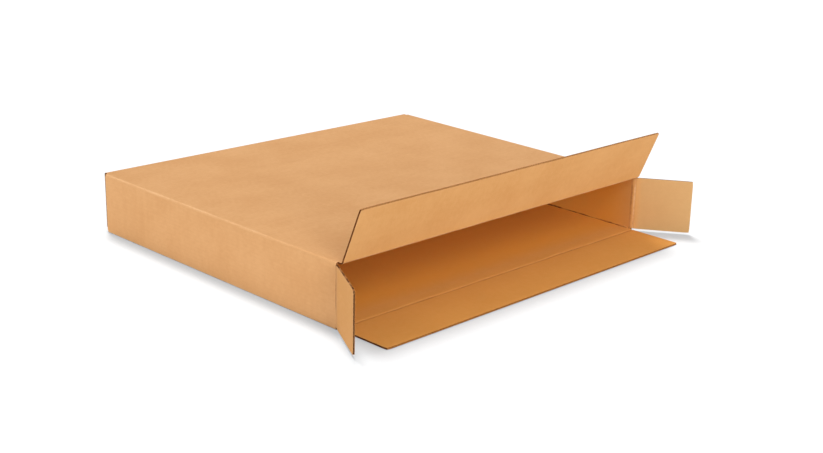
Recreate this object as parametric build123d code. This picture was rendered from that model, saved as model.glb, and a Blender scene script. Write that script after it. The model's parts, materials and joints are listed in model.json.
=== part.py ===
from build123d import *
import os

# A wide, flat corrugated box that is loaded from its long side and stands open there.
# X runs along the opening, the opening faces -Y, Z is up.
# The origin is the centre of the bottom panel's outer face.

# Room inside the closed box, in millimetres
INSIDE_LENGTH = 914.0       # along X
INSIDE_DEPTH = 762.0        # along Y, between the closed front flaps and the rear flaps
INSIDE_HEIGHT = 127.0       # along Z

# Corrugated board
BOARD = 4.0                 # whole thickness
LINER = 0.4                 # flat paper on each face
MEDIUM = 0.3                # wavy paper between the two liners
FLUTE_PITCH = 7.8           # from one crest of the wave to the next
CREST = 1.7                 # flat top of a crest, where it is glued to its liner
FLUTE_DEPTH = 25.0          # how far the open flutes reach in from a flap's free edge
EDGE_GROOVE = 1.2           # groove between the liners where a slot is cut along a flute

# Cuts, creases and folds
SLOT = 6.4                  # width of the slot between two flaps in the flat blank
CREASE_GAP = 0.4            # between a flap and its panel, on the outer face
LAYER_GAP = 0.4             # play between front flaps that close over each other
TUCK_GAP = 0.8              # between a closed flap's free edge and the opposite panel
FOLD_RADIUS = 3.0           # outside of every fold that stays shut
FOLD_BEAD = 2.2             # radius of the roll that the crushed board makes inside a fold
SEAM_SETBACK = 1.0          # cut edge of the top panel, back from the right side's face

# Glue tab of the right side, under the top panel
TAB_WIDTH = 35.0
TAB_SETBACK = 6.0           # from the side flaps to the ends of the tab's root and of the rolls
TAB_TAPER = 14.0            # how much further back the tab's narrow edge starts

# How far each front flap stands open, in degrees past straight out from its panel
TOP_ANGLE = 67.0
LEFT_ANGLE = 28.5
RIGHT_ANGLE = 35.5
BOTTOM_ANGLE = 0.0

# Sizes that follow from those above
LAYER = BOARD + LAYER_GAP
OUTER_LENGTH = INSIDE_LENGTH + 2 * BOARD
OUTER_HEIGHT = INSIDE_HEIGHT + 2 * BOARD
OUTER_DEPTH = INSIDE_DEPTH + 3 * BOARD + 2 * LAYER + BOARD
SLOT_INSET = (BOARD + SLOT) / 2
MAJOR_WIDTH = OUTER_LENGTH - 2 * SLOT_INSET
MINOR_WIDTH = OUTER_HEIGHT - 2 * SLOT_INSET

# Creases of the front flaps: the sides close first, then the bottom, then the top
TOP_CREASE = -OUTER_DEPTH / 2
BOTTOM_CREASE = TOP_CREASE + LAYER
SIDE_CREASE = BOTTOM_CREASE + LAYER

# Outer faces of the rear flaps, glued in the same order
TOP_REAR = OUTER_DEPTH / 2
BOTTOM_REAR = TOP_REAR - BOARD
SIDE_REAR = BOTTOM_REAR - BOARD

# The blank's ends are trimmed straight, so a deeper crease leaves a longer flap
BOTTOM_FLAP = OUTER_HEIGHT - BOARD - TUCK_GAP
TOP_FLAP = BOTTOM_FLAP - LAYER
SIDE_FLAP = BOTTOM_FLAP + LAYER
REAR_BOTTOM_FLAP = OUTER_HEIGHT - BOARD - TUCK_GAP
REAR_TOP_FLAP = REAR_BOTTOM_FLAP - BOARD
REAR_SIDE_FLAP = REAR_BOTTOM_FLAP + BOARD

CREASE_TIP = CREASE_GAP / 2

# Ends of the glue tab's root, clear of the side flaps at both ends of the tube
TAB_FRONT = SIDE_CREASE + BOARD + TAB_SETBACK
TAB_REAR = SIDE_REAR - BOARD - TAB_SETBACK


def flute_channel():
    """Half the width of an open channel at its narrow edge and at its wide one."""
    low = LINER + MEDIUM / 2
    rise = BOARD - 2 * low
    run = FLUTE_PITCH / 2 - CREST
    slant = (rise ** 2 + run ** 2) ** 0.5
    side = MEDIUM / 2 * slant / rise
    narrow = CREST / 2 + MEDIUM / 2 * run / rise - side
    wide = CREST / 2 + (BOARD - LINER - low) * run / rise - side
    return narrow, wide


def channel_face(x, opens_up):
    """Section of one channel, standing on its narrow edge or hanging from it."""
    narrow, wide = flute_channel()
    near, far = LINER + MEDIUM, BOARD - LINER
    if not opens_up:
        near, far = BOARD - near, BOARD - far
    outline = Polyline((x - narrow, near), (x + narrow, near), (x + wide, far), (x - wide, far), close=True)
    return make_face(outline)


def flutes(width, length):
    """The open channels at the free edge of a flap that lies along -Y."""
    waves = int((width - 2 * EDGE_GROOVE) / FLUTE_PITCH)
    first = -(waves - 1) / 2 * FLUTE_PITCH
    hanging = [channel_face(first + i * FLUTE_PITCH, False) for i in range(waves)]
    standing = [channel_face(first + (i + 0.5) * FLUTE_PITCH, True) for i in range(waves - 1)]
    edge = Plane.XZ.offset(length)
    return [extrude(edge * face, -FLUTE_DEPTH) for face in hanging + standing]


def slot_grooves(width, length):
    """Grooves along a flap's two slot edges, between the liners."""
    root = CREASE_TIP + BOARD
    groove = Box(2 * EDGE_GROOVE, length - root, BOARD - 2 * LINER)
    middle = -(length + root) / 2
    return [Pos(side * width / 2, middle, BOARD / 2) * groove for side in (-1, 1)]


def flap(width, length):
    """A front flap laid flat with its outer face down and its crease on the X axis."""
    outline = Polyline(
        (-CREASE_TIP, 0),
        (-length, 0),
        (-length, BOARD),
        (-CREASE_TIP - BOARD, BOARD),
        close=True,
    )
    sheet = extrude(Plane.YZ * make_face(outline), width / 2, both=True)
    return sheet - flutes(width, length) - slot_grooves(width, length)


def folded_panel(width, crease, rear, rear_flap):
    """A panel laid flat, outer face down, with its rear flap folded up and its front creased."""
    outline = Polyline(
        (crease + CREASE_TIP, 0),
        (rear, 0),
        (rear, rear_flap),
        (rear - BOARD, rear_flap),
        (rear - BOARD, BOARD),
        (crease + CREASE_TIP + BOARD, BOARD),
        close=True,
    )
    section = make_face(outline)
    fold = section.vertices().sort_by_distance((rear, 0, 0))[0]
    return extrude(Plane.YZ * fillet(fold, FOLD_RADIUS), width / 2, both=True)


def along_tube(section):
    """Run a section drawn in X and Z from the side creases to the rear of the sides."""
    front = SIDE_CREASE + CREASE_TIP
    return extrude(Plane.XZ.offset(-front) * section, front - SIDE_REAR)


def block(x_low, z_low, x_high, z_high):
    """A rectangle given by two opposite corners."""
    return Pos(x_low, z_low) * Rectangle(x_high - x_low, z_high - z_low, align=(Align.MIN, Align.MIN))


def corner_fold():
    """Section of the fold between two panels, for the corner at the origin."""
    angle = block(0, 0, SLOT_INSET, SLOT_INSET) - block(BOARD, BOARD, SLOT_INSET, SLOT_INSET)
    outside = angle.vertices().sort_by_distance((0, 0, 0))[0]
    return fillet(outside, FOLD_RADIUS)


def corners():
    """The three folds of the tube and the butt joint at its top right edge."""
    half = OUTER_LENGTH / 2
    fold = corner_fold()
    bottom_left = along_tube(Pos(-half, 0) * fold)
    bottom_right = along_tube(Pos(half, 0) * Rot(0, 0, 90) * fold)
    top_left = along_tube(Pos(-half, OUTER_HEIGHT) * Rot(0, 0, -90) * fold)
    under = OUTER_HEIGHT - BOARD
    side_edge = block(half - BOARD, OUTER_HEIGHT - SLOT_INSET, half, under)
    top_edge = block(half - SLOT_INSET, under, half - SEAM_SETBACK, OUTER_HEIGHT)
    return [bottom_left, bottom_right, top_left, along_tube(side_edge), along_tube(top_edge)]


def seam_round():
    """What the right side's fold into the glue tab takes off its square outer corner."""
    half = OUTER_LENGTH / 2
    under = OUTER_HEIGHT - BOARD
    square = block(half - FOLD_RADIUS, under - FOLD_RADIUS, half, under)
    bend = Pos(half - FOLD_RADIUS, under - FOLD_RADIUS) * Circle(FOLD_RADIUS)
    return along_tube(square - bend)


def glue_tab():
    """Tab of the right side, folded in and glued under the top panel."""
    root = OUTER_LENGTH / 2 - BOARD
    outline = Polyline(
        (root, TAB_FRONT),
        (root, TAB_REAR),
        (root - TAB_WIDTH, TAB_REAR - TAB_TAPER),
        (root - TAB_WIDTH, TAB_FRONT + TAB_TAPER),
        close=True,
    )
    return Pos(0, 0, OUTER_HEIGHT - 2 * BOARD) * extrude(make_face(outline), BOARD)


def fold_beads():
    """Rolls of crushed board in the tube's inner corners, one of them under the tab's root."""
    side = OUTER_LENGTH / 2 - BOARD
    ceiling = OUTER_HEIGHT - BOARD
    places = [(-side, BOARD), (side, BOARD), (-side, ceiling), (side, ceiling - BOARD)]
    plane = Plane.XZ.offset(-TAB_FRONT)
    return [extrude(plane * Pos(x, z) * Circle(FOLD_BEAD), TAB_FRONT - TAB_REAR) for x, z in places]


def box_body():
    """The folded tube of four panels with its rear end closed and glued."""
    half = OUTER_LENGTH / 2
    middle = OUTER_HEIGHT / 2
    side = folded_panel(MINOR_WIDTH, SIDE_CREASE, SIDE_REAR, REAR_SIDE_FLAP)
    bottom = folded_panel(MAJOR_WIDTH, BOTTOM_CREASE, BOTTOM_REAR, REAR_BOTTOM_FLAP)
    top = folded_panel(MAJOR_WIDTH, TOP_CREASE, TOP_REAR, REAR_TOP_FLAP)
    left = Pos(-half, 0, middle) * Rot(0, 90, 0) * side
    right = Pos(half, 0, middle) * Rot(0, -90, 0) * side
    over = Pos(0, 0, OUTER_HEIGHT) * Rot(0, 180, 0) * top
    return bottom + [over, left, right, *corners(), glue_tab(), *fold_beads()] - seam_round()


def top_flap():
    """The outermost front flap, raised above the top panel."""
    place = Pos(0, TOP_CREASE, OUTER_HEIGHT) * Rot(-TOP_ANGLE, 0, 0) * Rot(0, 180, 0)
    return place * flap(MAJOR_WIDTH, TOP_FLAP)


def bottom_flap():
    """The front flap that lies level with the bottom panel."""
    return Pos(0, BOTTOM_CREASE, 0) * Rot(BOTTOM_ANGLE, 0, 0) * flap(MAJOR_WIDTH, BOTTOM_FLAP)


def side_flap(side, angle):
    """A side flap swung outwards: side is -1 for the left and 1 for the right."""
    place = Pos(side * OUTER_LENGTH / 2, SIDE_CREASE, OUTER_HEIGHT / 2) * Rot(0, 0, side * angle)
    return place * Rot(0, -side * 90, 0) * flap(MINOR_WIDTH, SIDE_FLAP)


PARTS = {
    "box_body": box_body(),
    "top_flap": top_flap(),
    "bottom_flap": bottom_flap(),
    "left_flap": side_flap(-1, LEFT_ANGLE),
    "right_flap": side_flap(1, RIGHT_ANGLE),
}

os.makedirs("parts", exist_ok=True)
for name, shape in PARTS.items():
    shape.label = name
    export_step(shape, f"parts/{name}.step")
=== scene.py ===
import json
from collections import namedtuple
from math import comb, cos, pi, radians, sin

import bmesh
import bpy
import numpy as np
from mathutils import Matrix, Vector


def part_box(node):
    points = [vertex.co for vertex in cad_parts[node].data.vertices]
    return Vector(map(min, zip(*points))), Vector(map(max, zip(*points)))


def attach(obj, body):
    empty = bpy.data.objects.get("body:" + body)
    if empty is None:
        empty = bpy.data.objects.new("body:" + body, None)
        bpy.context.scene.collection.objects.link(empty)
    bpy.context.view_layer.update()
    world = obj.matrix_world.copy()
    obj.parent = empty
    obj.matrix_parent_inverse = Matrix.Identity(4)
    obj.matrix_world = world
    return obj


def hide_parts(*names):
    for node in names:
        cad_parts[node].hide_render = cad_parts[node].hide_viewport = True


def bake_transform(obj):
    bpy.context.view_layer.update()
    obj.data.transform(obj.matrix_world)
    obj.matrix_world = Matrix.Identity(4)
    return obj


# A wide, flat box of corrugated board that lies open on its long side, in metres.
# Every board is drawn flat first, as on its blank, and then folded into place. Its coordinates run
# across the flutes, along them away from the front crease, and in from the outer face.

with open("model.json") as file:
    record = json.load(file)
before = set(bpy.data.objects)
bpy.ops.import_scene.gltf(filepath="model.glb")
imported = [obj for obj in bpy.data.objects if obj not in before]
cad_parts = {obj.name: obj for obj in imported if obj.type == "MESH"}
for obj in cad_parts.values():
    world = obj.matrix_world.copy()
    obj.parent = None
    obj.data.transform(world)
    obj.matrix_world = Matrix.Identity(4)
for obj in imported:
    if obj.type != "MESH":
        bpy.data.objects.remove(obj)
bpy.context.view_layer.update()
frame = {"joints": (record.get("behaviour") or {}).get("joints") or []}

MM = 0.001

# Corrugated board
BOARD = 4 * MM
LINER = 0.4 * MM
MEDIUM = 0.3 * MM
FLUTE_PITCH = 7.8 * MM
FLUTE_DEPTH = 25 * MM  # how far the flutes are open from a free edge
FLUTE_STEPS = 14  # corners along one wave
FLUTE_SWAY = (0.4, 90 * MM)  # how far the waves stray, in radians, and over what length
CREST_SWAY = (0.05, 41 * MM)  # the same of their height, in shares of it
CREST_PRESS = 1.12  # above 1, the crests are pressed flat
GLUE_GAP = 0.04 * MM  # a crest this near to a liner is glued to it
END_WEB = 0.4 * MM  # closed paper between a slot's edge and the first flute

# Cut edges
EDGE_GROOVE = 1.2 * MM  # how far the wavy paper stands back in a slot's edge
EDGE_PINCH = 1.2 * MM  # width that the knife crushed along a cut
PINCH_SHARE = 0.07  # how much of the thickness it lost there
WANDER_LENGTH = 190 * MM  # over which the wavy paper rises and sinks there
DASH_LENGTH = 34 * MM  # from one stretch where it shows to the next
DASH_DEPTH = 0.2 * MM  # how far back it stands where it shows
DASH_TONES = (-1.3, 0.9)  # painted shade where it's hidden in the groove, and pale where it shows
DASH_STEEPNESS, DASH_EXTRA = 2.5, 0.45  # how sharply it ends, and how much more than half shows
CRUSHED_FILL = 0.45  # share of a rubbed edge's groove that crushed paper fills
UNRUBBED = 0.2  # wear of an unrubbed edge
PLAIN_WEAR = 0.3  # wear of a plain cut wall

# Folds of the tube, the rolls of crushed board inside them, and the glue tab
FOLD_RADIUS = 3 * MM
FOLD_BEAD = 2.2 * MM
SLOT_INSET = 5.2 * MM  # from the tube's outer faces to the slots' edges
SEAM_SETBACK = 1 * MM
GROOVE_FADE = 10 * MM  # over which the seam's groove runs out
TAB_WIDTH = 35 * MM
TAB_SETBACK = 6 * MM
TAB_TAPER = 14 * MM
TAB_DROP = 0.05 * MM  # glue between the tab and the top panel
TAB_COLUMNS = (9 * MM, 20 * MM, 31 * MM)  # places across the tab, from its fold
TAB_FOOT_REACH = 18 * MM  # over which its inner face draws in beside the roll
TUCK_GAP = 0.8 * MM
CREASE_TIP = 0.2 * MM
CREASE_TRIM = 0.35 * MM  # how far a flap's sides stand back at its crease

# Creases of the front flaps: a narrow strip of outer liner and a wide one of inner liner
OUTER_STRIP = 1.5 * MM  # from the hinge line to each side
OUTER_SKIN = 0.45 * MM  # the strip's thickness
OUTER_DIP = 0.35 * MM  # depth of the score's line in it
OUTER_EASE = 0.03 * MM  # depth a little beside that line
SKIN_DIP = 0.62 * MM  # the line's depth on the hidden face
INNER_STRIP = 8 * MM
SCORE_HALF = 4.6 * MM  # where the pressed score begins
SCORE_EASE = 1.7 * MM  # how softly it turns in
SCORE_SWAY = (0.3 * MM, 160 * MM)
SCORE_STAND = 2.5 * MM  # height of its line over the outer face
STAND_FOLDED = 0.3 * MM  # how much lower that is in a flap folded back to square
STAND_SWAY = (0.25 * MM, 120 * MM)
SHALLOW_STAND = 3.35 * MM  # the height at the bottom flap, which lies level
SHALLOW_SWAY = (0.2 * MM, 120 * MM)
CREASE_SWAY = (1.3 * MM, 230 * MM)  # how far the bottom flap's line strays
OUTER_BLEND = 0.8 * MM  # how far from the hinge line a strip would bend; the code uses it only to mark the outer strip
INNER_BLEND = 4.2 * MM

# Spacing of the mesh
COLUMN_STEP = 16 * MM
EDGE_COLUMN = 4 * MM  # from a slot's edge to the second column beside it
ROW_STEP = 12 * MM
WALL_STEP = 5 * MM  # down the flaps
ARC_STEPS = 6  # round a fold or a crease
HAIR = 1e-6  # slack when two places are compared
WELD = 0.003 * MM  # corners closer than this are one
SHARP_ANGLE = radians(38)

# Seeds: of the first panel, flap and crease, then of the folds and the seam
PANEL_SEED, FLAP_SEED, CREASE_SEED = 100, 200, 300
BOTTOM_LEFT, BOTTOM_RIGHT, TOP_LEFT, TAB, SEAM = 11, 23, 37, 41, 71

OUTSIDE, INSIDE, CUT = range(3)
X, Y, Z = np.eye(3)

# Places that follow from the frame
CREASES = {j["child"]: np.array(j["pos_m"], float) for j in frame["joints"]}
CLOSING = {j["child"]: j["range_deg"][0] for j in frame["joints"]}
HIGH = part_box("box_body")[1]
HALF, HEIGHT = HIGH.x, HIGH.z
MIDDLE = HEIGHT / 2
TOP_REAR = HIGH.y
BOTTOM_REAR = TOP_REAR - BOARD
SIDE_REAR = BOTTOM_REAR - BOARD
SIDE_CREASE = CREASES["left_flap"][1]
BOTTOM_CREASE = CREASES["bottom_flap"][1]
TOP_CREASE = CREASES["top_flap"][1]
LAYER = BOTTOM_CREASE - TOP_CREASE
MAJOR_HALF = HALF - SLOT_INSET
MINOR_HALF = MIDDLE - SLOT_INSET
FOLD_FRONT = SIDE_CREASE + CREASE_TIP
FOLD_REAR = SIDE_REAR - BOARD
TAB_FRONT = SIDE_CREASE + BOARD + TAB_SETBACK
TAB_REAR = SIDE_REAR - BOARD - TAB_SETBACK
TAB_TOP = HEIGHT - BOARD - TAB_DROP
REAR_FLAP = HEIGHT - BOARD - TUCK_GAP

# Heights of the corners down a plain cut wall of board
LEVELS = np.array([0, LINER, (BOARD - MEDIUM) / 2, (BOARD + MEDIUM) / 2, BOARD - LINER, BOARD])


def smooth(x):
    """0 below 0, 1 above 1 and a soft step between them."""
    x = np.clip(x, 0, 1)
    return x * x * (3 - 2 * x)


def wobble(x, length, seed):
    """A smooth, uneven wave from about -1 to 1, with swings of about this length."""
    draw = np.random.RandomState(seed)
    total = np.zeros_like(np.asarray(x, float))
    for share, turns in ((0.5, 1.0), (0.3, 1.9), (0.2, 3.3)):
        turns = turns * draw.uniform(0.85, 1.15)
        total = total + share * np.sin(2 * pi * turns * x / length + draw.uniform(0, 2 * pi))
    return total


def sway(x, swing, seed):
    """A wobble given by its size and its length."""
    size, length = swing
    return size * wobble(x, length, seed)


def soft_line(x, at, width):
    """1 in the middle of a soft line and 0 well beside it."""
    return np.exp(-((x - at) / width) ** 2)


def spaced(low, high, step, extra=()):
    """Even places from low to high, about a step apart, and some more between them."""
    even = np.linspace(low, high, max(2, int(round((high - low) / step)) + 1))
    inner = [e for e in extra if low < e < high]
    even = [e for e in even if all(abs(e - i) > 0.3 * step for i in inner) or e in (low, high)]
    return np.array(sorted(set(even) | set(inner)))


def flat_grid(columns, rows, height):
    """Rows of corners of a flat sheet."""
    a, t = np.meshgrid(columns, rows)
    return np.stack([a, t, np.full_like(a, height)], -1)


def put(origin, *parts):
    """Places reached from an origin by going so far each way."""
    return origin + sum(far[..., None] * way for far, way in parts)


def add_object(name, data):
    """Makes an object and puts it in the scene."""
    made = bpy.data.objects.new(name, data)
    bpy.context.scene.collection.objects.link(made)
    return made


class Board:
    """A mesh in the making. Its corners are given flat, and its place takes them into the scene.
    Those that coincide become one when it is finished."""

    def __init__(self, place=None):
        self.place = place
        self.points, self.blank, self.wear, self.faces, self.kinds = [], [], [], [], []
        self.count = 0

    def corners(self, flat, wear=0.0):
        """Adds flat corners, and returns their numbers in the same layout."""
        flat = np.asarray(flat, float)
        points, blank = self.place(flat)
        amount = points[..., 0].size
        self.points.append(points.reshape(-1, 3))
        self.blank.append(blank.reshape(-1, 3))
        self.wear.append(np.broadcast_to(wear, flat.shape[:-1]).reshape(-1))
        self.count += amount
        return np.arange(self.count - amount, self.count).reshape(flat.shape[:-1])

    def face(self, numbers, kind):
        self.faces.append([int(n) for n in numbers])
        self.kinds.append(kind)

    def strip(self, one, other, kind, keep=None):
        """Four-sided faces between two rows of corners, all of them or those to keep."""
        quads = np.stack([one[:-1], one[1:], other[1:], other[:-1]], -1)
        if keep is not None:
            quads = quads[keep]
        self.faces.extend(quads.tolist())
        self.kinds.extend([kind] * len(quads))

    def sheet(self, flat, kind, wear=0.0):
        """Four-sided faces all over a grid of corners."""
        numbers = self.corners(flat, wear)
        for one, other in zip(numbers[:-1], numbers[1:]):
            self.strip(one, other, kind)
        return numbers

    def both_faces(self, columns, rows, wear=(0.0, 0.0)):
        """The outer and the inner face of a board."""
        for height, kind, worn in zip((0.0, BOARD), (OUTSIDE, INSIDE), wear):
            self.sheet(flat_grid(columns, rows, height), kind, worn)

    def slab(self, columns, rows, wear=(0.0, 0.0)):
        """Both faces of a board, and plain cut walls at its two ends."""
        self.both_faces(columns, rows, wear)
        for row in (rows[0], rows[-1]):
            plain_wall(self, [(a, row) for a in columns])

    def stitch(self, coarse, coarse_at, fine, fine_at, kind):
        """Three-sided faces between a coarse row of corners and a fine one beside it."""
        i = j = 0
        while i < len(coarse) - 1 or j < len(fine) - 1:
            coarse_done, fine_done = i == len(coarse) - 1, j == len(fine) - 1
            if coarse_done or (not fine_done and fine_at[j + 1] <= coarse_at[i + 1]):
                self.face([coarse[i], fine[j], fine[j + 1]], kind)
                j += 1
            else:
                self.face([coarse[i], fine[j], coarse[i + 1]], kind)
                i += 1

    def finish(self, name, body):
        """Makes the object, joins its corners and gives it papers and a body."""
        mesh = bpy.data.meshes.new(name)
        mesh.from_pydata(np.concatenate(self.points).tolist(), [], self.faces)
        mesh.polygons.foreach_set("material_index", self.kinds)
        blank = mesh.attributes.new("blank", "FLOAT_VECTOR", "POINT")
        blank.data.foreach_set("vector", np.concatenate(self.blank).astype(np.float32).ravel())
        # Besides wear, this attribute carries painted shade and painted highlight: dark and pale lines at
        # creases, folds and edge grooves
        wear = mesh.attributes.new("wear", "FLOAT", "POINT")
        wear.data.foreach_set("value", np.concatenate(self.wear).astype(np.float32))
        work = bmesh.new()
        work.from_mesh(mesh)
        bmesh.ops.remove_doubles(work, verts=work.verts, dist=WELD)
        bmesh.ops.dissolve_degenerate(work, edges=work.edges, dist=WELD)
        for parts, context in ((work.verts, "VERTS"), (work.edges, "EDGES")):
            bmesh.ops.delete(work, geom=[p for p in parts if not p.link_faces], context=context)
        bmesh.ops.recalc_face_normals(work, faces=work.faces)
        work.to_mesh(mesh)
        work.free()
        mesh.shade_smooth()
        mesh.set_sharp_from_angle(angle=SHARP_ANGLE)
        for material in PAPERS:
            mesh.materials.append(material)
        piece = add_object(name, mesh)
        if body:
            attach(piece, body)
        return piece


def edge_section(rows, groove, seed, rubbed):
    """Depth, height, and wear and painted shade of the corners down a slot's edge with its groove."""
    half = MEDIUM / 2
    room = BOARD / 2 - LINER - 2 * half
    wander = BOARD / 2 + room * wobble(rows, WANDER_LENGTH, seed) * smooth(groove / EDGE_GROOVE)
    shows = smooth(DASH_STEEPNESS * (wobble(rows, DASH_LENGTH, seed + 1) + DASH_EXTRA))
    stand = groove - (groove - DASH_DEPTH) * shows * (groove >= EDGE_GROOVE * 0.99)
    # On a rubbed edge the crushed wavy paper fills the groove here and there
    filled = CRUSHED_FILL * rubbed * shows
    filled[-1] = 0
    groove = groove * (1 - filled)
    stand = np.minimum(stand, groove)
    stand[-1] = groove[-1]
    # From the outer to the inner face: the liner's pale cut, the groove darkened with painted shade, and
    # the wavy paper, with painted shade where it lies hidden
    none = np.zeros_like(rows)
    lip, groove_shade = none + (1 + rubbed) / 2, rubbed * shows - 1
    dash = np.interp(shows, (0, 1), DASH_TONES)
    depth = [none, none, groove, groove, stand]
    wear = [lip, lip, groove_shade, groove_shade, dash]
    low = [none, none + LINER, none + LINER, wander - half, wander - half]
    high = [wander + half, wander + half, none + BOARD - LINER, none + BOARD - LINER, none + BOARD]
    lists = (depth + depth[::-1], low + high, wear + wear[::-1])
    return [np.stack(parts, -1) for parts in lists]


def slot_edge(board, at, inward, rows, groove, seed, rubbed=UNRUBBED):
    """The cut edge of a board along its flutes, and the numbers of its last row of corners."""
    depth, height, wear = edge_section(rows, groove, seed, rubbed)
    across = at + inward * depth
    along = np.broadcast_to(rows[:, None], across.shape)
    return board.sheet(np.stack([across, along, height], -1), CUT, wear)[-1]


def plain_wall(board, path):
    """A plain cut wall of board under a path of flat corners."""
    board.sheet([[(*corner, v) for corner in path] for v in LEVELS], CUT, PLAIN_WEAR)


def wave(x, seed):
    """Lower and upper face of the wavy paper at places across the flutes."""
    phase = 2 * pi * x / FLUTE_PITCH + sway(x, FLUTE_SWAY, seed)
    reach = (BOARD - 2 * LINER - MEDIUM) / 2 * CREST_PRESS * (1 + sway(x, CREST_SWAY, seed + 1))
    slope = reach * 2 * pi / FLUTE_PITCH * np.cos(phase)
    middle = BOARD / 2 + reach * np.sin(phase)
    thick = MEDIUM * np.sqrt(1 + slope ** 2)
    low = np.clip(middle - thick / 2, LINER, BOARD - LINER - MEDIUM)
    high = np.clip(middle + thick / 2, LINER + MEDIUM, BOARD - LINER)
    low[low < LINER + GLUE_GAP] = LINER
    high[high > BOARD - LINER - GLUE_GAP] = BOARD - LINER
    return low, high


def free_edge(board, columns, row, end, corner_rows, seed, rubbed):
    """The edge cut across the flutes, which stand open between the liners."""
    low_side, high_side = columns[0], columns[-1]
    first = low_side + EDGE_GROOVE + END_WEB
    last = high_side - EDGE_GROOVE - END_WEB
    steps = int(round((last - first) / FLUTE_PITCH * FLUTE_STEPS))
    x = np.linspace(first, last, steps + 1)
    low, high = wave(x, seed)

    def row_of(across, height, back=0.0, wear=0.0):
        height = np.broadcast_to(height, across.shape)
        along = np.full_like(across, end - back)
        return board.corners(np.stack([across, along, height], -1), wear)

    heights = (LINER, low, high, BOARD - LINER)
    near = [row_of(x, height) for height in heights]
    deep = [row_of(x, height, FLUTE_DEPTH) for height in heights]
    whole = np.array([low_side, low_side + EDGE_GROOVE, *x, high_side - EDGE_GROOVE, high_side])
    outer, inner = row_of(whole, 0.0, wear=rubbed), row_of(whole, BOARD, wear=rubbed)
    board.strip(outer, row_of(whole, LINER), CUT)
    board.strip(row_of(whole, BOARD - LINER), inner, CUT)
    board.strip(near[1], near[2], CUT)
    # The channels below and above the wavy paper, open wherever it stands off the liner
    for k, gap in ((0, low - LINER), (2, BOARD - LINER - high)):
        shown = (gap[:-1] > 0) | (gap[1:] > 0)
        board.strip(near[k], deep[k], INSIDE, shown)
        board.strip(near[k + 1], deep[k + 1], INSIDE, shown)
        board.strip(deep[k], deep[k + 1], CUT, shown)
        for end_of in (0, -1):
            ring = (near[k], near[k + 1], deep[k + 1], deep[k])
            board.face([row_numbers[end_of] for row_numbers in ring], CUT)
    for k, slot_row in zip((0, -1), corner_rows):
        board.face([*slot_row[[2, 3, 6, 7]], *(near[n][k] for n in (3, 2, 1, 0))], CUT)
    for height, fine, kind in ((0.0, outer, OUTSIDE), (BOARD, inner, INSIDE)):
        coarse = board.corners(flat_grid(columns, [row], height))[0]
        board.stitch(coarse, columns, fine, whole, kind)


def crease_toe(board, columns, crease):
    """The end of a board at a front crease, mitred inside and stepped for the two crease strips."""
    step = BOARD - LINER
    section = [
        (INNER_STRIP, BOARD), (INNER_STRIP, step), (CREASE_TIP + step, step),
        (CREASE_TIP + OUTER_SKIN, OUTER_SKIN), (OUTER_STRIP, OUTER_SKIN), (OUTER_STRIP, 0),
        (2 * OUTER_STRIP, 0), (INNER_STRIP, 0),
    ]
    flat = [[(a, crease + u, v) for a in columns] for u, v in section]
    numbers = board.sheet(flat[:6], CUT)
    outer = board.sheet(flat[5:], OUTSIDE)
    for k in (0, -1):
        levels = board.corners([(columns[k], crease + INNER_STRIP, v) for v in LEVELS[1:4]])
        ring = [outer[2][k], outer[1][k], *numbers[5:0:-1, k], *levels[::-1]]
        board.face(ring, CUT)


def leaf(board, columns, crease, rows, end, walls, seed, rubbed=UNRUBBED):
    """A board from its front crease to its free edge: both faces, slot edges and open flutes."""
    wear = np.zeros((len(rows), len(columns)))
    wear[:, 0] = wear[:, -1] = rubbed
    board.both_faces(columns, rows, (wear, wear))
    crease_toe(board, columns, crease)
    last = []
    for side, at in ((1, columns[0]), (-1, columns[-1])):
        for wall in walls:
            there = rows[(rows >= wall[0] - HAIR) & (rows <= wall[1] + HAIR)]
            groove = np.zeros_like(there)
            if wall[1] > rows[-1]:
                there = np.append(there, end)
                groove = EDGE_GROOVE * smooth((there - there[0]) / (3 * EDGE_PINCH))
            numbers = slot_edge(board, at, side, there, groove, seed + side, rubbed)
        last.append(numbers)
    free_edge(board, columns, rows[-1], end, last, seed, rubbed)


def pinch(height, distance):
    """Height in a board whose cut edge is this far off, crushed a little by the knife."""
    crushed = PINCH_SHARE * (1 - smooth(distance / EDGE_PINCH))
    return BOARD / 2 + (height - BOARD / 2) * (1 - crushed)


def board_columns(low, high):
    """Places across a board, closer together beside its slot edges."""
    near = [low + EDGE_PINCH, low + EDGE_COLUMN, high - EDGE_COLUMN, high - EDGE_PINCH]
    return spaced(low, high, COLUMN_STEP, near)


# Front flaps

Flap = namedtuple("Flap", "along straight inward half length blank curl lean blunt")
FLAPS = {
    # The ways along the crease, straight out of the panel and in from its outer face, then half the
    # width, the length, the place across the blank, the size of the curl and its lean to the inside,
    # and how far the free corners are knocked back at the low and the high end of the crease
    "top_flap": Flap(
        X, -Y, -Z, MAJOR_HALF, REAR_FLAP - LAYER, 2 * (HALF + MIDDLE), 0.9 * MM, -0.45, (1.0 * MM, 0.7 * MM)
    ),
    "bottom_flap": Flap(X, -Y, Z, MAJOR_HALF, REAR_FLAP, 0.0, 0.22 * MM, 0.75, (1.8 * MM, 1.0 * MM)),
    "left_flap": Flap(
        Z, -Y, X, MINOR_HALF, REAR_FLAP + LAYER, -(HALF + MIDDLE), 0.5 * MM, 0.75, (0.8 * MM, 2.8 * MM)
    ),
    "right_flap": Flap(
        Z, -Y, -X, MINOR_HALF, REAR_FLAP + LAYER, HALF + MIDDLE, 0.6 * MM, 0.75, (1.0 * MM, 0.9 * MM)
    ),
}
FLAP_BLANK = -0.4  # place of all front creases along the blank
CURL_START = 12 * MM  # distance from the crease where a flap begins to curl
CURL_SWELL = (0.5, 1.1)  # swings of the curl along a flap, in shares of its size
CURL_RIPPLE = (0.25, 0.31)
TRIM_REACH = 4 * MM  # how far in from its sides a flap is narrowed at its crease
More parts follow.
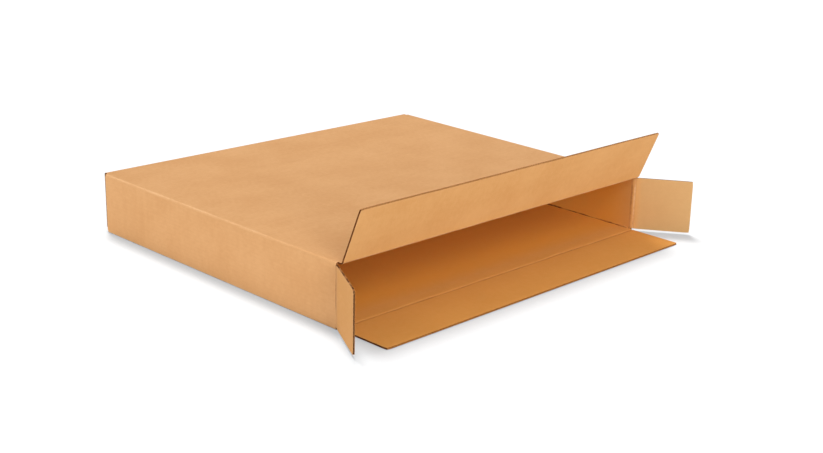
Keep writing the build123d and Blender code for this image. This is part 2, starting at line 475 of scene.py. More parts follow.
RUBBED = {"left_flap": 1.9}  # wear of the flaps' edges, where it isn't slight
CORNER_REACH = 6 * MM


def past_straight(body):
    """How far a flap stands back past straight out: closed, it is square to its panel."""
    return radians(-CLOSING[body] - 90)


def flap_place(body, seed):
    """Takes flat corners of a flap to their place, with a slight curl towards its free edge."""
    flap = FLAPS[body]
    half, length = flap.half, flap.length
    angle = past_straight(body)
    out = cos(angle) * flap.straight - sin(angle) * flap.inward
    normal = cos(angle) * flap.inward + sin(angle) * flap.straight

    def place(flat):
        a, t, v = np.moveaxis(flat, -1, 0)
        beside_slot = 1 - smooth((half - np.abs(a)) / TRIM_REACH)
        a = a - np.sign(a) * CREASE_TRIM * beside_slot * (1 - smooth(t / (4 * BOARD)))
        edge = np.minimum(np.minimum(a + half, half - a), length - t)
        for side, blunt in zip((-1, 1), flap.blunt):
            crushed = blunt * np.exp(-((half - side * a) ** 2 + (length - t) ** 2) / CORNER_REACH ** 2)
            a, t = a - 0.5 * side * crushed, t - crushed
        rise = smooth((t - CURL_START) / (length - CURL_START))
        uneven = sway(a, CURL_SWELL, seed) + sway(a, CURL_RIPPLE, seed + 1)
        height = pinch(v, edge) + flap.curl * rise * (flap.lean + uneven)
        points = put(CREASES[body], (a, flap.along), (t, out), (height, normal))
        return points, np.stack([a + flap.blank, FLAP_BLANK - t, v], -1)

    return place


def make_flap(body, seed):
    half, length = FLAPS[body].half, FLAPS[body].length
    board = Board(flap_place(body, seed))
    columns = board_columns(-half, half)
    rows = spaced(INNER_STRIP, length - EDGE_PINCH, WALL_STEP)
    walls = [(rows[0], length)]
    rubbed = RUBBED.get(body, UNRUBBED)
    leaf(board, columns, 0.0, rows, length, walls, seed, rubbed)
    piece = board.finish(body + "_board", body)
    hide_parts(body)


# Crease strips

# Lines painted across the front creases: a dark line of painted shade, and a pale line of whitened fibre
# and painted highlight
CREASE_SHADE_AND_HIGHLIGHT = {
    # name: paleness, its place from -1 to 1 across the crease and its width, then the same of darkness
    "top_flap_crease_inside": ((1.6, 0.35, 0.3), (1.4, -0.3, 0.3)),
    "bottom_flap_crease_inside": ((0.5, 0.0, 0.25), (0.8, 0.45, 0.25)),
    "left_flap_crease_inside": ((0.9, 0.2, 0.3), (1.2, -0.4, 0.3)),
    "left_flap_crease_outside": ((0.6, 0.9, 0.6), (2.0, -0.2, 0.6)),
    "right_flap_crease_inside": ((3.0, 0.2, 0.25), (0.65, -0.65, 0.45)),
}
FAINT_SHADE_AND_HIGHLIGHT = ((0.3, 0.0, 0.5), (0.4, 0.5, 0.5))  # of the other creases
CREASE_LINE_MEAN = 0.6  # of these painted lines along a crease, and its swings
CREASE_LINE_SWAY = (0.5, 90 * MM)
SOUND_BELOW = -34 * MM  # the left flap's outer crease is unmarked below this
SOUND_FADE = 20 * MM


def middle_way(angle):
    """The way in the section of a crease from its hinge to the middle of its inside."""
    return np.array([-sin(angle / 2), cos(angle / 2)])


def mirrored(half, to_middle):
    """Corners across half a crease, then those across its other half."""
    other = 2 * (half @ to_middle)[:, None] * to_middle - half
    return np.concatenate([half, other[-2::-1]])


def crease_section(body, a, seed):
    """Corners of the inner liner across a crease, both faces, at a place along it."""
    angle = past_straight(body)
    to_middle = middle_way(angle)
    over = np.array([-to_middle[1], to_middle[0]])
    if body == "bottom_flap":
        stand = SHALLOW_STAND + sway(a, SHALLOW_SWAY, seed)
    else:
        stand = SCORE_STAND - STAND_FOLDED * sin(angle) + sway(a, STAND_SWAY, seed)
    score = SCORE_HALF + sway(a, SCORE_SWAY, seed + 1)
    start = np.array([score, BOARD])
    middle = stand * to_middle
    controls = [start, start - [SCORE_EASE, 0], middle - SCORE_EASE * over, middle]
    share = np.linspace(0, 1, ARC_STEPS + 1)[:, None]
    curve = sum(comb(3, k) * share ** k * (1 - share) ** (3 - k) * controls[k] for k in range(4))
    level = [(INNER_STRIP, BOARD), ((INNER_STRIP + score) / 2, BOARD)]
    face = mirrored(np.concatenate([level, curve]), to_middle)
    if body == "bottom_flap":
        drift = sway(a, CREASE_SWAY, seed + 9)
        face[:, 0] += drift * (1 - np.abs(np.linspace(-1, 1, len(face))))
    turn = np.gradient(face, axis=0)
    turn /= np.linalg.norm(turn, axis=1)[:, None]
    under = np.stack([turn[:, 1], -turn[:, 0]], -1)
    under *= np.sign(-(under @ to_middle))[:, None]
    under[0] = (0, -1)
    under[-1] = 2 * (under[0] @ to_middle) * to_middle - under[0]
    return face, face + LINER * under


def web_section(body):
    """Corners of the outer liner across a crease, both faces."""
    to_middle = middle_way(past_straight(body))
    places = [OUTER_STRIP, 0.6 * OUTER_STRIP, 0.3 * OUTER_STRIP]
    outer = [*zip(places, (0, 0, OUTER_EASE)), OUTER_DIP * to_middle]
    skin = [*((place, OUTER_SKIN) for place in places), SKIN_DIP * to_middle]
    return [mirrored(np.array(half), to_middle) for half in (outer, skin)]


def make_strip(body, name, section_at, reach, seed):
    """A strip of liner across a front crease, shaped to the angle at which its flap stands."""
    hinge, flap = CREASES[body], FLAPS[body]
    half = flap.half - CREASE_TRIM
    columns = spaced(-half, half, ROW_STEP)

    def place(flat):
        a, u, v = np.moveaxis(flat, -1, 0)
        points = put(hinge, (a, flap.along), (-u, flap.straight), (v, flap.inward))
        return points, np.stack([a + flap.blank, FLAP_BLANK + u, v], -1)

    board = Board(place)
    faces = [section_at(a) for a in columns]
    step = np.linspace(-1, 1, len(faces[0][0]))
    # Pale and dark lines across the crease: whitened fibre and painted highlight, and painted shade
    lines = CREASE_SHADE_AND_HIGHLIGHT.get(name, FAINT_SHADE_AND_HIGHLIGHT)
    pale, shade_line = (much * soft_line(step, at, width) for much, at, width in lines)
    along_line = CREASE_LINE_MEAN + sway(columns, CREASE_LINE_SWAY, seed + 7)
    if name == "left_flap_crease_outside":
        along_line = along_line * smooth((columns - SOUND_BELOW) / SOUND_FADE)
    wear = (pale - shade_line) * along_line[:, None]
    rings = []
    for k, kind in ((0, INSIDE if reach == INNER_BLEND else OUTSIDE), (1, CUT)):
        flat = [[(a, *p) for p in face[k]] for a, face in zip(columns, faces)]
        rings.append(board.sheet(flat, kind, wear))
    for end in (0, -1):
        board.strip(rings[0][end], rings[1][end], CUT)
        board.strip(rings[0][:, end], rings[1][:, end], CUT)
    piece = board.finish(name, None)
    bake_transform(piece)


def make_creases(body, seed):
    web = web_section(body)
    make_strip(body, body + "_crease_inside", lambda a: crease_section(body, a, seed), INNER_BLEND, seed)
    make_strip(body, body + "_crease_outside", lambda a: web, OUTER_BLEND, seed)


# Tube

ROLL_MEAN = 1.15  # size of a roll in shares of FOLD_BEAD, and its swings
ROLL_SWELL = (0.3, 210 * MM)
ROLL_KNOTS = (0.2, 43 * MM)
ROLL_FADE = 8 * MM  # over which its ends run out
BEND_SWAY = (0.12 * MM, 130 * MM)  # how much a fold's outer corner is flattened
FOOT_REACH = 14 * MM  # over which a panel's inner face draws in beside a roll
REAR_REACH = 20 * MM  # the same along the board on each side of the rear fold
REAR_EASE = 12 * MM  # from a slot's edge to where the rear fold's roll is full
FAR_OFF = 1.0  # stands for no cut edge nearby

# Marks of the folds: mean and swings of the pale outside, from rubbing and painted highlight, and of a dark
# line of painted shade and a pale line of painted highlight inside, with their places and widths, where 0
# and 1 are the two ends of the bend
FOLD_RUB_AND_HIGHLIGHT = 0.75, (0.25, 150 * MM)
FOLD_SHADE_LINE = 1.1, (0.6, 90 * MM), 0.2, 0.7
FOLD_HIGHLIGHT_LINE = 0.6, (0.6, 130 * MM), 1.2, 0.4
RUB_AND_HIGHLIGHT_FROM = -330 * MM  # ahead of this the folds have neither rubbing nor painted highlight
RUB_AND_HIGHLIGHT_FADE = 200 * MM


def roll(y, seed):
    """Size of the roll inside a fold, which fades out before the front and rear flaps."""
    uneven = ROLL_MEAN + sway(y, ROLL_SWELL, seed) + sway(y, ROLL_KNOTS, seed + 1)
    ends = smooth((y - TAB_FRONT) / ROLL_FADE) * smooth((TAB_REAR - y) / ROLL_FADE)
    return FOLD_BEAD * uneven * ends


def roll_foot(size, inset):
    """How far a roll reaches along a board, or the distance to the slots' line if that is more."""
    return np.maximum(SLOT_INSET - BOARD, size) if inset == SLOT_INSET else size


PANEL_FIELDS = "origin across inward edges crease rear flap blank bow insets seeds"


class Panel(namedtuple("Panel", PANEL_FIELDS)):
    """A panel of the tube: where its outer face lies, the ways across it and into the box, its side
    edges, front crease, rear face and rear flap's length, its place across the blank, its bow, and
    how far each fold reaches along it from the tube's corner, with the fold's seed."""

    turn = pi / 2 * FOLD_RADIUS

    @property
    def bend(self):
        return self.rear - FOLD_RADIUS

    @property
    def end(self):
        return self.bend + self.turn + self.flap - FOLD_RADIUS

    def place(self, flat):
        """Takes flat corners of the panel and its rear flap to their place."""
        flat_a, t, v = np.moveaxis(flat, -1, 0)
        low, high = self.edges
        share = v / BOARD
        main = np.minimum(t, self.bend)
        mid, half = (low + high) / 2, (high - low) / 2
        outward = ((flat_a - mid) / half, main / self.bend)
        bulge = np.prod([np.clip(1 - part ** 2, 0, 1) for part in outward], axis=0)
        bulge = self.bow * np.sqrt(bulge) * bulge
        # The inner face starts at the foot of each fold's roll
        inside_tube = (t >= FOLD_FRONT - HAIR) & (t <= FOLD_REAR + HAIR)
        a = flat_a
        for edge, side, inset, seed in zip(self.edges, (1, -1), self.insets, self.seeds):
            foot = roll_foot(roll(t, seed), inset)
            shift = (BOARD + foot - inset) * (1 - smooth(np.abs(a - edge) / FOOT_REACH))
            a = a + side * shift * share * inside_tube
        # Past the bend the board turns up into the rear flap
        phi = np.clip((t - self.bend) / self.turn, 0, 1) * pi / 2
        up = np.clip(t - self.bend - self.turn, 0, None)
        near = 1 - smooth((self.bend - t) / REAR_REACH)
        late = 1 - smooth(up / REAR_REACH)
        middle = smooth(np.minimum(flat_a - low, high - flat_a) / REAR_EASE)
        bead = FOLD_BEAD * middle
        back = bead + (BOARD - FOLD_RADIUS) * np.where(t > FOLD_REAR + HAIR, 1, middle)
        outer_y = main + FOLD_RADIUS * np.sin(phi)
        outer_n = FOLD_RADIUS * (1 - np.cos(phi)) + up
        inner_y = np.where(phi > 0, self.rear - BOARD - bead * np.cos(phi), main - back * near)
        inner_n = np.where(phi > 0, BOARD + bead * np.sin(phi), BOARD)
        inner_n = np.where(up > 0, FOLD_RADIUS + up + back * late, inner_n)
        y = outer_y + (inner_y - outer_y) * share
        n = outer_n + (inner_n - outer_n) * share + bulge
        to_end = np.where(up > 0, self.end - t, FAR_OFF)
        to_side = np.where(t > self.bend, np.minimum(a - low, high - a), FAR_OFF)
        y = np.where(up > REAR_REACH, self.rear - pinch(v, np.minimum(to_end, to_side)), y)
        points = put(self.origin, (a, self.across), (y, Y), (n, self.inward))
        return points, np.stack([self.blank + a, t, v], -1)


class Fold(namedtuple("Fold", "corner one other insets seed blank")):
    """A fold between two panels, drawn from its sharp outer corner along both of them."""

    def place(self, flat):
        """Flat corners here hold a step round the fold, from 0 to 1, then y and height."""
        step, y, v = np.moveaxis(flat, -1, 0)
        size = roll(y, self.seed)
        phi = np.clip(step, 0, 1) * pi / 2
        slack = sway(y, BEND_SWAY, self.seed + 5)
        reach = FOLD_RADIUS - slack * np.sin(2 * phi) ** 2
        sine, cosine = np.sin(phi), np.cos(phi)
        first, last = step < 0, step > 1
        sides = (first, last, sine, cosine), (last, first, cosine, sine)
        far = []
        for inset, (beyond, opposite, falling, rising) in zip(self.insets, sides):
            outer = np.where(opposite, 0, FOLD_RADIUS - reach * falling)
            inner = BOARD + np.where(opposite, 0, size * rising)
            outer = np.where(beyond, inset, outer)
            inner = np.where(beyond, BOARD + roll_foot(size, inset), inner)
            far.append(outer + (inner - outer) * v / BOARD)
        p, q = far
        if self.insets[1] == FOLD_RADIUS:
            # The front of the tab's fold stands back in line with the mitre of the right flap's crease
            y = y + q * (1 - smooth((y - FOLD_FRONT) / (INNER_STRIP - CREASE_TIP)))
        points = put(self.corner, (p, self.one), (q, self.other), (y, Y))
        return points, np.stack([self.blank + (step - 0.5) * FOLD_RADIUS * pi / 2, y, v], -1)

    def steps(self):
        """Steps round the fold, with one more at each side where it reaches to the slots' line."""
        before, after = ([step] * (inset > FOLD_RADIUS) for step, inset in zip((-1, 2), self.insets))
        return np.array([*before, *np.linspace(0, 1, ARC_STEPS + 1), *after])


SIDE_TOP = TAB_TOP - FOLD_RADIUS - MIDDLE  # where the right panel's fold into the tab begins
TO_SLOTS = (SLOT_INSET, SLOT_INSET)
MAJOR_EDGES = (-MAJOR_HALF, MAJOR_HALF)
PANELS = {
    "bottom": Panel(
        np.zeros(3), X, Z, MAJOR_EDGES, BOTTOM_CREASE, BOTTOM_REAR, REAR_FLAP, 0.0,
        0.4 * MM, TO_SLOTS, (BOTTOM_LEFT, BOTTOM_RIGHT),
    ),
    "top": Panel(
        HEIGHT * Z, X, -Z, MAJOR_EDGES, TOP_CREASE, TOP_REAR, REAR_FLAP - BOARD, 2 * (HALF + MIDDLE),
        2.2 * MM, TO_SLOTS, (TOP_LEFT, 0),
    ),
    "left": Panel(
        -HALF * X + MIDDLE * Z, Z, X, (-MINOR_HALF, MINOR_HALF), SIDE_CREASE, SIDE_REAR,
        REAR_FLAP + BOARD, -(HALF + MIDDLE),
        -0.5 * MM, TO_SLOTS, (BOTTOM_LEFT, TOP_LEFT),
    ),
    "right": Panel(
        HALF * X + MIDDLE * Z, Z, -X, (-MINOR_HALF, SIDE_TOP), SIDE_CREASE, SIDE_REAR,
        REAR_FLAP + BOARD, HALF + MIDDLE,
        -0.4 * MM, (SLOT_INSET, FOLD_RADIUS), (BOTTOM_RIGHT, TAB),
    ),
}
FOLDS = [
    Fold(-HALF * X, X, Z, TO_SLOTS, BOTTOM_LEFT, -HALF),
    Fold(HALF * X, -X, Z, TO_SLOTS, BOTTOM_RIGHT, HALF),
    Fold(-HALF * X + HEIGHT * Z, X, -Z, TO_SLOTS, TOP_LEFT, -HALF - HEIGHT),
    Fold(HALF * X + TAB_TOP * Z, -Z, -X, (FOLD_RADIUS, FOLD_RADIUS), TAB, HALF + HEIGHT),
]
FADE_ROWS = (0, ROLL_FADE / 2, ROLL_FADE)
TUBE_ROWS = spaced(
    FOLD_FRONT, FOLD_REAR, ROW_STEP,
    [BOTTOM_CREASE + INNER_STRIP, SIDE_CREASE + INNER_STRIP]
    + [TAB_FRONT + fade for fade in FADE_ROWS] + [TAB_REAR - fade for fade in FADE_ROWS],
)


def panel_rows(panel):
    """Rows of a panel from its front crease, round its rear fold and down its rear flap."""
    first = panel.crease + INNER_STRIP
    tube = [first] + [y for y in TUBE_ROWS if y > first + HAIR]
    if panel.bend > FOLD_REAR + HAIR:
        tube.append(panel.bend)
    bend = [panel.bend + panel.turn * k / ARC_STEPS for k in range(1, ARC_STEPS + 1)]
    flap = spaced(panel.bend + panel.turn, panel.end - EDGE_PINCH, WALL_STEP)[1:]
    return np.array([*tube, *bend, *flap])


def add_panel(board, panel, seed):
    columns = board_columns(*panel.edges)
    rows = panel_rows(panel)
    walls = [(FOLD_REAR, panel.end)]
    if rows[0] < FOLD_FRONT:
        walls.insert(0, (rows[0], FOLD_FRONT))
    board.place = panel.place
    leaf(board, columns, panel.crease, rows, panel.end, walls, seed)


def fold_line(steps, mean, swing, at, width, seed):
    """Strength of a soft line along a fold, for each row and each step round the fold."""
    along = mean + sway(TUBE_ROWS, swing, seed)
    return along[:, None] * soft_line(steps, at, width)


def add_fold(board, fold, starts):
    """A fold of the tube, with walls where the panel beside it starts further back."""
    steps = fold.steps()
    rows = TUBE_ROWS
    across = 1 - smooth(np.abs(np.clip(steps, -0.5, 1.5) - 0.5))
    # Outside: pale from rubbing and painted highlight; inside: a line of painted shade and one of painted
    # highlight
    mean, swing = FOLD_RUB_AND_HIGHLIGHT
    fade = smooth((rows - RUB_AND_HIGHLIGHT_FROM) / RUB_AND_HIGHLIGHT_FADE) * (mean + sway(rows, swing, fold.seed + 3))
    rubbed = fade[:, None] * across
    crushed = fold_line(steps, *FOLD_HIGHLIGHT_LINE, fold.seed + 6) - fold_line(steps, *FOLD_SHADE_LINE, fold.seed + 4)
    board.place = fold.place
    board.slab(steps, rows, (rubbed, crushed))
    for step, start in zip((steps[0], steps[-1]), starts):
        there = rows[rows <= start + HAIR]
        if len(there) > 1:
            plain_wall(board, [(step, y) for y in there])


def add_tab(board):
    """The glue tab under the top panel, with tapered ends."""
    fold = FOLDS[3]
    rows = TUBE_ROWS[(TUBE_ROWS >= TAB_FRONT - HAIR) & (TUBE_ROWS <= TAB_REAR + HAIR)]
    tab_end = BOARD + TAB_WIDTH
    across = np.array([FOLD_RADIUS, *TAB_COLUMNS, tab_end - EDGE_PINCH, tab_end])

    def place(flat):
        q, y, v = np.moveaxis(flat, -1, 0)
        size = roll(y, fold.seed)
        share = v / BOARD
        foot = (BOARD + size - FOLD_RADIUS) * (1 - smooth((q - FOLD_RADIUS) / TAB_FOOT_REACH))
        taper = TAB_TAPER * np.clip((q - BOARD) / TAB_WIDTH, 0, 1)
        along = y + taper * (1 - 2 * (y - TAB_FRONT) / (TAB_REAR - TAB_FRONT))
        points = put(fold.corner, (q + foot * share, fold.other), (along, Y), (v, fold.one))
        return points, np.stack([fold.blank + q, along, v], -1)

    board.place = place
    board.slab(across, rows)
    plain_wall(board, [(across[-1], y) for y in rows])
    board.place = fold.place
    for there in (TUBE_ROWS[TUBE_ROWS <= TAB_FRONT + HAIR], TUBE_ROWS[TUBE_ROWS >= TAB_REAR - HAIR]):
        plain_wall(board, [(1.0, y) for y in there])


def add_seam(board, panel):
    """The top panel's right margin, from the slots' line to its cut edge over the right side."""
    columns = [MAJOR_HALF, HALF - SEAM_SETBACK - EDGE_PINCH, HALF - SEAM_SETBACK]
    board.place = panel.place
    board.slab(columns, TUBE_ROWS)
    ends = np.minimum(TUBE_ROWS - FOLD_FRONT, FOLD_REAR - TUBE_ROWS)
    groove = EDGE_GROOVE * smooth(ends / GROOVE_FADE)
    slot_edge(board, columns[-1], -1, TUBE_ROWS, groove, SEAM)


def make_tube():
    board = Board()
    for count, panel in enumerate(PANELS.values()):
        add_panel(board, panel, PANEL_SEED + 10 * count)
    starts = {name: panel.crease + INNER_STRIP for name, panel in PANELS.items()}
    # The panels beside each fold, at its first and at its last step
    beside = [("bottom", "left"), ("bottom", "right"), ("top", "left"), ("right", None)]
    for fold, names in zip(FOLDS, beside):
        add_fold(board, fold, [starts.get(name, TOP_CREASE - BOARD) for name in names])
    add_tab(board)
    add_seam(board, PANELS["top"])
    piece = board.finish("tube_board", "box")
    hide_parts("box_body")


# Paper

# Patterns in the paper, laid out on the blank: scale, detail, stretch and roughness
PATTERNS = {
    "clouds": (9, 4, (1, 1, 1), 0.5),
    "mottle": (120, 5, (1, 0.7, 1), 0.6),
    "fibres": (900, 3, (0.28, 1.6, 1), 0.65),
    "flecks": (1500, 2, (0.5, 1.2, 1), 0.5),
    "pale_flecks": (1100, 2, (0.4, 1.5, 1), 0.5),
    "streaks": (30, 3, (0.12, 2.2, 1), 0.6),
    "drift": (6, 1, (1, 1, 1), 0.5),
}
TONE_SHARES = {"clouds": 0.45, "mottle": 0.3, "fibres": 0.25, "streaks": 0.15}
TONE_RANGE = (0.395, 0.755)  # from the deepest tone to the palest

# Where a pattern begins to show and shows in full, and how much it shows at each
DARK_FLECKS = (0.66, 0.74, 0.0, 0.35)
PALE_FLECKS = (0.68, 0.76, 0.0, 0.3)
WEAR_AND_LIGHT_PATCHES = (0.3, 0.6, 0.25, 0.55)
FLECK_TINTS = (0.55, 1.35)  # shares of the deep and of the pale tone
LINE_START = -0.2  # from here to 1 on the wave of the flutes, a line shows
LINE_SHARE = 0.1
LINE_TINT = 0.8
LINE_DRIFT = 3.0  # how far the lines stray, in radians
SHADE_MARK_STRENGTH = 1.6  # of the dark marks, painted shade, next to the pale
GRAIN_SHARES = {"fibres": 0.7, "flecks": 0.3}
GRAIN_STRENGTH, GRAIN_DEPTH = 0.35, 0.12 * MM
RIDGE_STRENGTH, RIDGE_DEPTH = 0.5, 0.05 * MM
ROUGHNESS_CHANGE = (0.08, -0.1)  # at the low and the high parts of the paper

# Tones that go with the place on the blank: painted light inside the box and on the bottom flap, and a tint
# on the side flaps that stands in for how light falls on them
FOLD_EASE = 4 * MM  # over which a side's tone changes at its two folds
SIDE_LIGHT_SHARE = 0.42  # of the tint on the side flaps, which stands in for how light falls on them
SIDE_LIGHT_FADE = 20 * MM
INNER_LIGHT_DEEPENING = (-0.33, -0.08)  # from the near tone of painted inner light to the deep one
INNER_LIGHT_FROM = (-0.43, -0.3)  # where the painted inner light comes in
INNER_LIGHT_GRAIN = 0.1  # share of the paper's own tone in them
INNER_LIGHT_FLOOR_SHARE = 0.6  # their least share on the bottom panel and its flap
INNER_LIGHT_FLOOR_EDGE = (0.45, 0.47)  # where that ends, across the blank


class Nodes:
    """The nodes of one material or world."""

    def __init__(self, owner):
        owner.use_nodes = True
        self.tree = owner.node_tree

    def feed(self, node, inputs):
        """Sets a node's inputs, given by name or number, or links them to other nodes."""
        for key, value in inputs.items():
            socket = node.inputs[key]
            if isinstance(value, bpy.types.NodeSocket):
                self.tree.links.new(value, socket)
            else:
                socket.default_value = (*value, 1) if socket.type == "RGBA" else value

    def add(self, kind, inputs):
        node = self.tree.nodes.new(kind)
        self.feed(node, inputs)
        return node

    def math(self, operation, one, other=0.0):
        node = self.add("ShaderNodeMath", {0: one, 1: other})
        node.operation = operation
        return node.outputs[0]

    def times(self, one, other):
        return self.math("MULTIPLY", one, other)

    def plus(self, one, other):
        return self.math("ADD", one, other)

    def noise(self, coords, scale, detail, stretch, rough):
        mapped = self.add("ShaderNodeMapping", {"Vector": coords, "Scale": stretch}).outputs[0]
        inputs = {"Vector": mapped, "Scale": scale, "Detail": detail, "Roughness": rough}
        return self.add("ShaderNodeTexNoise", inputs).outputs["Fac"]

    def mix(self, share, one, other):
        """A colour mixed from two others."""
        node = self.add("ShaderNodeMix", {})
        node.data_type = "RGBA"
        self.feed(node, {0: share, 6: one, 7: other})
        return node.outputs[2]

    def ranged(self, value, low, high, to_low=0.0, to_high=1.0):
        """A soft step from one value to another, between low and high."""
        node = self.add("ShaderNodeMapRange", {0: value, 1: low, 2: high, 3: to_low, 4: to_high})
        node.interpolation_type = "SMOOTHSTEP"
        return node.outputs[0]

    def bump(self, strength, depth, height, **more):
        inputs = {"Strength": strength, "Distance": depth, "Height": height, **more}
        return self.add("ShaderNodeBump", inputs).outputs[0]

    def attribute(self, name):
        node = self.add("ShaderNodeAttribute", {})
        node.attribute_name = name
        return node


def tinted(colour, factor):
    return tuple(min(1, factor * c) for c in colour)


def srgb(*shown):
    """A colour given as it shows, from 0 to 255, in the linear values that shaders take."""
    return tuple(c / 255 / 12.92 if c <= 10 else ((c / 255 + 0.055) / 1.055) ** 2.4 for c in shown)


def side_light_share(nodes, across, along):
    """How much of the side flaps' painted light tint shows: only on the two side flaps."""
    near, far = HALF, HALF + HEIGHT
    beside = nodes.ranged(across, near - FOLD_EASE, near + FOLD_EASE)
    beside = nodes.times(beside, nodes.ranged(across, far - FOLD_EASE, far + FOLD_EASE, 1.0, 0.0))
    ahead = nodes.ranged(along, FLAP_BLANK - SIDE_LIGHT_FADE, FLAP_BLANK, SIDE_LIGHT_SHARE, 0.0)
    return nodes.times(beside, ahead)


def paper(name, pale, deep, worn, crushed, flutes, rough, gloss, side_flap_light=None, painted_inner_light=None):
    """Brown kraft paper: fibres along it, cloudy tone, flecks, faint flute lines, worn folds and painted
    light and shade.
    """
    material = bpy.data.materials.new(name)
    nodes = Nodes(material)
    coords = nodes.attribute("blank").outputs["Vector"]
    noise = {pattern: nodes.noise(coords, *PATTERNS[pattern]) for pattern in PATTERNS}

    tone = 0.0
    for pattern, share in TONE_SHARES.items():
        tone = nodes.plus(tone, nodes.times(noise[pattern], share))
    colour = nodes.mix(nodes.ranged(tone, *TONE_RANGE), deep, pale)
    flecks = (("flecks", DARK_FLECKS, deep), ("pale_flecks", PALE_FLECKS, pale))
    for (pattern, shows, tone_of), tint in zip(flecks, FLECK_TINTS):
        colour = nodes.mix(nodes.ranged(noise[pattern], *shows), colour, tinted(tone_of, tint))

    # Flute crests show through the liner as faint lines
    place = nodes.add("ShaderNodeSeparateXYZ", {0: coords})
    phase = nodes.times(place.outputs["X"], 2 * pi / FLUTE_PITCH)
    phase = nodes.plus(phase, nodes.times(noise["drift"], LINE_DRIFT))
    crest = nodes.math("SINE", phase)
    line = nodes.ranged(crest, LINE_START, 1.0, 0.0, LINE_SHARE * flutes)
    colour = nodes.mix(line, colour, tinted(deep, LINE_TINT))

    across = nodes.math("ABSOLUTE", place.outputs["X"])
    along = place.outputs["Y"]
    # A tint that stands in for how light falls on the side flaps: richer outside and paler inside
    if side_flap_light:
        colour = nodes.mix(side_light_share(nodes, across, along), colour, side_flap_light)
    # Painted light inside the box: brighter, richer tones deeper in, and on the bottom panel and its flap
    if painted_inner_light:
        inner = nodes.mix(nodes.ranged(along, *INNER_LIGHT_DEEPENING), *painted_inner_light)
        inner = nodes.mix(nodes.ranged(tone, *TONE_RANGE, INNER_LIGHT_GRAIN, 0.0), inner, deep)
        inner_light_on_floor = nodes.ranged(across, *INNER_LIGHT_FLOOR_EDGE, INNER_LIGHT_FLOOR_SHARE, 0.0)
        share = nodes.math("MAXIMUM", inner_light_on_floor, nodes.ranged(along, *INNER_LIGHT_FROM))
        colour = nodes.mix(share, colour, inner)

    # Marks above 0 are pale, from wear and painted highlight, and below 0 dark, painted shade: a mix holds
    # its share between 0 and 1
    wear = nodes.attribute("wear").outputs["Fac"]
    wear_and_light_mask = nodes.times(wear, nodes.ranged(noise["mottle"], *WEAR_AND_LIGHT_PATCHES))
    colour = nodes.mix(wear_and_light_mask, colour, worn)
    colour = nodes.mix(nodes.times(wear_and_light_mask, -SHADE_MARK_STRENGTH), colour, crushed)

    uneven = nodes.plus(noise["mottle"], nodes.times(noise["fibres"], 0.5))
    roughness = nodes.ranged(uneven, 0.5, 1.0, *(rough + change for change in ROUGHNESS_CHANGE))

    fine, coarse = (nodes.times(noise[name], share) for name, share in GRAIN_SHARES.items())
    grain = nodes.bump(GRAIN_STRENGTH, GRAIN_DEPTH, nodes.plus(fine, coarse))
    ridges = nodes.bump(RIDGE_STRENGTH * flutes, RIDGE_DEPTH, crest, Normal=grain)

    shader = nodes.tree.nodes["Principled BSDF"]
    looks = {"Base Color": colour, "Roughness": roughness, "Specular IOR Level": gloss, "Normal": ridges}
    nodes.feed(shader, looks)
    return material


# Each paper's pale mark colour is rubbing and painted highlight, and its crushed colour is painted shade
PAPERS = [
    paper(
        "kraft_outside", pale=srgb(223, 170, 117), deep=srgb(213, 158, 104), worn=srgb(238, 194, 146),
        crushed=srgb(140, 86, 44), flutes=0.6, rough=0.8, gloss=0.12, side_flap_light=srgb(236, 170, 92),
    ),
    paper(
        "kraft_inside", pale=srgb(219, 165, 106), deep=srgb(210, 154, 94), worn=srgb(240, 198, 146),
        crushed=srgb(120, 62, 24), flutes=0.4, rough=0.84, gloss=0.1, side_flap_light=srgb(193, 165, 120),
        painted_inner_light=(srgb(232, 162, 69), srgb(253, 192, 93)),
    ),
    # Cut faces: the wavy paper's own duller tone, darkened further with painted shade of the cut edges and
    # open flutes
    paper(
        "kraft_cut", pale=srgb(130, 77, 40), deep=srgb(98, 56, 28), worn=srgb(214, 156, 102),
        crushed=srgb(84, 40, 17), flutes=0.0, rough=0.92, gloss=0.0,
    ),
]


# Stage, light and camera

FLOOR_REACH = 20.0
FLOOR_PAINT = (0.38,) * 3
# Seen by the camera: a paint and a glow that add up to white where nothing shades them
FLOOR_SEEN = (0.30,) * 3
FLOOR_GLOW = (0.43, 0.44, 0.45)
# the glow's colour close to the box: a painted contact shadow
FLOOR_SHADED = (0.18, 0.24, 0.28)
SHADE_REACH = 60 * MM
AMBIENT = 0.43
LAMPS = {
    # name: where it shines from, strength, degrees across
    "overhead": ((0.25, 0.48, 1.0), 0.9, 16),
    "front": ((-0.30, -0.77, 0.56), 1.27, 36),
    "low": ((-0.34, -0.93, 0.17), 0.85, 12),
    "side": ((-1.0, 0.15, 0.35), 0.84, 50),
    "shadow": ((0.18, 0.38, 1.0), 3.9, 16),
}


def seen_directly(nodes):
    """1 for rays from the camera and for what gloss and glass show, 0 for light itself."""
    path = nodes.add("ShaderNodeLightPath", {}).outputs
    seen = nodes.plus(path["Is Camera Ray"], path["Is Glossy Ray"])
    seen = nodes.plus(seen, path["Is Transmission Ray"])
    return nodes.math("MINIMUM", seen, 1.0)


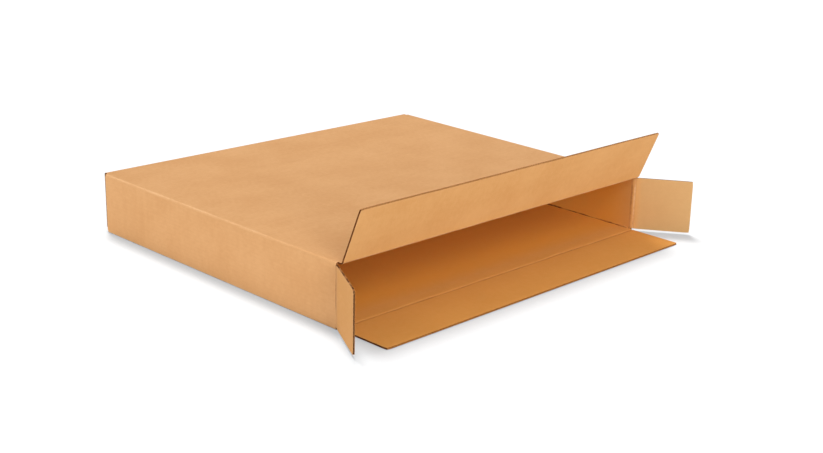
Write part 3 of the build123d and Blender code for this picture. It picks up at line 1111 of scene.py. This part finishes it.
def make_floor():
    mesh = bpy.data.meshes.new("floor")
    signs = ((-1, -1), (1, -1), (1, 1), (-1, 1))
    mesh.from_pydata([(x * FLOOR_REACH, y * FLOOR_REACH, 0) for x, y in signs], [], [(0, 1, 2, 3)])
    floor = add_object("floor", mesh)
    material = bpy.data.materials.new("floor_paint")
    nodes = Nodes(material)
    nodes.tree.nodes.clear()
    seen = seen_directly(nodes)
    diffuse = nodes.add("ShaderNodeBsdfDiffuse", {"Color": nodes.mix(seen, FLOOR_PAINT, FLOOR_SEEN)})
    # Near the box the glow turns to the shaded colour: a painted contact shadow
    nearby = nodes.add("ShaderNodeAmbientOcclusion", {"Distance": SHADE_REACH})
    shaded = nodes.mix(nearby.outputs["AO"], FLOOR_SHADED, FLOOR_GLOW)
    glow = nodes.add("ShaderNodeEmission", {"Color": shaded, "Strength": seen})
    both = nodes.add("ShaderNodeAddShader", {0: diffuse.outputs[0], 1: glow.outputs[0]})
    nodes.add("ShaderNodeOutputMaterial", {"Surface": both.outputs[0]})
    mesh.materials.append(material)
    return floor


def make_light(floor):
    floor_only = bpy.data.collections.new("floor_only")
    floor_only.objects.link(floor)
    world = bpy.data.worlds.new("studio")
    nodes = Nodes(world)
    strength = nodes.plus(nodes.times(seen_directly(nodes), 1 - AMBIENT), AMBIENT)
    nodes.feed(nodes.tree.nodes["Background"], {"Color": (1, 1, 1), "Strength": strength})
    bpy.context.scene.world = world
    for name, (source, power, softness) in LAMPS.items():
        lamp = bpy.data.lights.new(name, "SUN")
        lamp.energy = power
        lamp.angle = radians(softness)
        holder = add_object(name, lamp)
        holder.rotation_mode = "QUATERNION"
        holder.rotation_quaternion = Vector(source).to_track_quat("Z", "Y")
        if name == "shadow":
            holder.light_linking.receiver_collection = floor_only


# The camera's place, fitted to the photograph's outlines, from the middle of the tube
FRAME_WIDTH, FRAME_HEIGHT = 823, 453
FOCAL_PIXELS = 1356.1
AXIS_PIXEL = (519.0, 221.5)  # where the camera's axis meets the picture
AZIMUTH, ELEVATION, ROLL = -49.22, 17.76, 2.74  # degrees
CAMERA_SPOT = (0.3228, -0.0423, 3.1017)  # to its own right, up and back


def make_camera():
    lens = bpy.data.cameras.new("camera")
    lens.sensor_fit = "HORIZONTAL"
    lens.lens = FOCAL_PIXELS / FRAME_WIDTH * lens.sensor_width
    lens.shift_x = (FRAME_WIDTH / 2 - AXIS_PIXEL[0]) / FRAME_WIDTH
    lens.shift_y = (AXIS_PIXEL[1] - FRAME_HEIGHT / 2) / FRAME_WIDTH
    camera = add_object("camera", lens)
    view = Matrix.Translation((0, 0, MIDDLE))
    for turn, axis in ((AZIMUTH, "Z"), (90 - ELEVATION, "X"), (ROLL, "Z")):
        view = view @ Matrix.Rotation(radians(turn), 4, axis)
    camera.matrix_world = view @ Matrix.Translation(CAMERA_SPOT)
    bpy.context.scene.camera = camera


make_tube()
for flap_count, flap_body in enumerate(FLAPS):
    make_flap(flap_body, FLAP_SEED + 20 * flap_count)
    make_creases(flap_body, CREASE_SEED + 20 * flap_count)
make_light(make_floor())
make_camera()
bpy.context.scene.view_settings.view_transform = "Standard"
